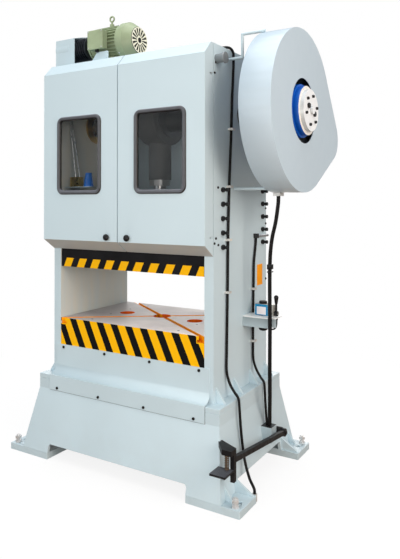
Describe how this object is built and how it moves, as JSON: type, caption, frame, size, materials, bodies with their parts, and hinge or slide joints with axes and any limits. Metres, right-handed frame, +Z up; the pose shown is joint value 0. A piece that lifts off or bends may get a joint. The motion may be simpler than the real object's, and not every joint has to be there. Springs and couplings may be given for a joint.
{
  "type": "mechanical stamping press",
  "caption": "Straight-sided mechanical stamping press: a striped bolster and slide between two columns, an overhead crank, a geared flywheel drive under round guards and a top motor.",
  "frame": {"origin": "on the floor, midway between the four anchor holes", "axes": "+X to the machine's right as the front is faced, +Y from the front to the back, +Z up"},
  "size_m": [2.048, 1.5427, 3.08],
  "materials": {
    "frame_paint": "pale blue-grey semi-gloss paint",
    "guard_paint": "blue-grey semi-gloss paint on sheet",
    "stripe_paint": "yellow and black hazard stripes on the front, ground top",
    "black_paint": "black paint",
    "bright_steel": "machined steel",
    "clutch_steel": "turned and polished",
    "black_screws": "black oxide",
    "dark_iron": "cast, dark paint",
    "bronze": "turned bronze",
    "gear_blue": "blue paint, bare teeth",
    "motor_green": "green paint on castings",
    "pulley_iron": "turned",
    "black_rubber": "matt",
    "conduit_black": "ribbed flexible conduit",
    "black_plastic": "moulded",
    "tinted_glass": "dark tinted acrylic",
    "pump_metal": "die cast",
    "spring_steel": "browned",
    "brass": "brass",
    "blue_plastic": "translucent blue"
  },
  "bodies": {
    "frame": {"base_end_walls": "frame_paint", "base_side_walls": "frame_paint", "base_lid": "frame_paint", "foot_plates": "frame_paint", "levelling_bolts": "bright_steel", "gussets": "frame_paint", "left_column": "frame_paint", "right_column": "frame_paint", "crown_top_plate": "frame_paint", "crown_rear_plate": "frame_paint", "bed_plate": "frame_paint", "bed_ribs": "frame_paint", "bolster": "stripe_paint", "apron": "frame_paint", "apron_screws": "black_screws", "gibs": "bright_steel", "gib_screws": "black_screws", "crank_bushes": "bronze", "shaft_brackets": "frame_paint", "v_belts": "black_rubber", "gear_guard": "guard_paint", "guard_stays": "frame_paint", "belt_guard": "frame_paint", "motor_frame": "motor_green", "motor_end_shield": "motor_green", "fan_cowl": "motor_green", "terminal_box": "motor_green", "eyebolt": "motor_green", "motor_bed": "frame_paint", "lifting_pins": "frame_paint", "conduits": "conduit_black", "conduit_fittings": "bright_steel", "lubricator_shelf": "frame_paint", "lubricator_pump": "pump_metal", "treadle_brackets": "black_paint", "treadle_spring": "spring_steel", "oil_shelf": "frame_paint", "oil_distributor": "brass", "oil_cup": "blue_plastic"},
    "slide": {"slide": "black_paint"},
    "crankshaft": {"crankshaft": "bright_steel"},
    "connecting_rod": {"connecting_rod": "dark_iron", "ball_screw": "bright_steel"},
    "bull_gear": {"bull_gear": "gear_blue", "clutch_cover": "clutch_steel"},
    "back_shaft": {"pinion_shaft": "bright_steel", "flywheel": "dark_iron"},
    "motor_rotor": {"motor_shaft": "bright_steel", "motor_pulley": "pulley_iron", "motor_fan": "black_plastic"},
    "left_door": {"left_door": "frame_paint", "left_gasket": "black_rubber", "left_pane": "tinted_glass"},
    "right_door": {"right_door": "frame_paint", "right_gasket": "black_rubber", "right_pane": "tinted_glass"},
    "left_knob": {"left_knob": "black_plastic"},
    "right_knob": {"right_knob": "black_plastic"},
    "treadle": {"treadle": "black_paint"},
    "lubricator_lever": {"lubricator_lever": "black_plastic"}
  },
  "joints": [
    {"name": "flywheel_spin", "type": "hinge", "parent": "frame", "child": "back_shaft", "pos_m": [0, 0.51968, 2.18215], "axis": [1, 0, 0], "continuous": true},
    {"name": "bull_gear_spin", "type": "hinge", "parent": "frame", "child": "bull_gear", "pos_m": [0, 0, 2.305], "axis": [1, 0, 0], "continuous": true},
    {"name": "motor_spin", "type": "hinge", "parent": "frame", "child": "motor_rotor", "pos_m": [0, -0.145, 2.87], "axis": [1, 0, 0], "continuous": true},
    {"name": "crank_turn", "type": "hinge", "parent": "frame", "child": "crankshaft", "pos_m": [0, 0, 2.305], "axis": [1, 0, 0], "range_deg": [0, 180]},
    {"name": "rod_swing", "type": "hinge", "parent": "crankshaft", "child": "connecting_rod", "pos_m": [0, 0, 2.35], "axis": [1, 0, 0], "range_deg": [-180, 0]},
    {"name": "slide_stroke", "type": "slide", "parent": "frame", "child": "slide", "axis": [0, 0, 1], "range_m": [-0.0901, 0]},
    {"name": "right_door_hinge", "type": "hinge", "parent": "frame", "child": "right_door", "pos_m": [0.639, -0.395, 2], "axis": [0, 0, 1], "range_deg": [0, 90]},
    {"name": "left_door_hinge", "type": "hinge", "parent": "frame", "child": "left_door", "pos_m": [-0.639, -0.395, 2], "axis": [0, 0, -1], "range_deg": [0, 90]},
    {"name": "right_latch", "type": "hinge", "parent": "right_door", "child": "right_knob", "pos_m": [0.083, -0.479, 1.516], "axis": [0, 1, 0], "range_deg": [0, 90]},
    {"name": "left_latch", "type": "hinge", "parent": "left_door", "child": "left_knob", "pos_m": [-0.083, -0.479, 1.516], "axis": [0, -1, 0], "range_deg": [0, 90]},
    {"name": "treadle_press", "type": "hinge", "parent": "frame", "child": "treadle", "pos_m": [0.85, 0.214, 0.215], "axis": [1, 0, 0], "range_deg": [0, 5], "stiffness_Nm_per_rad": 300, "springref_deg": -17.19, "deforming": ["treadle_spring"]},
    {"name": "lubricator_pull", "type": "hinge", "parent": "frame", "child": "lubricator_lever", "pos_m": [0.84, 0.092, 1.022], "axis": [-1, 0, 0], "range_deg": [0, 50], "stiffness_Nm_per_rad": 2, "springref_deg": -11.46}
  ],
  "couplings": [
    {"joint": "bull_gear_spin", "follows": "flywheel_spin", "ratio": -0.23611},
    {"joint": "motor_spin", "follows": "flywheel_spin", "ratio": 4.9136},
    {"joint": "rod_swing", "follows": "crank_turn", "ratio": -1},
    {"joint": "slide_stroke", "follows": "crank_turn", "m_per_rad": -0.028648}
  ]
}
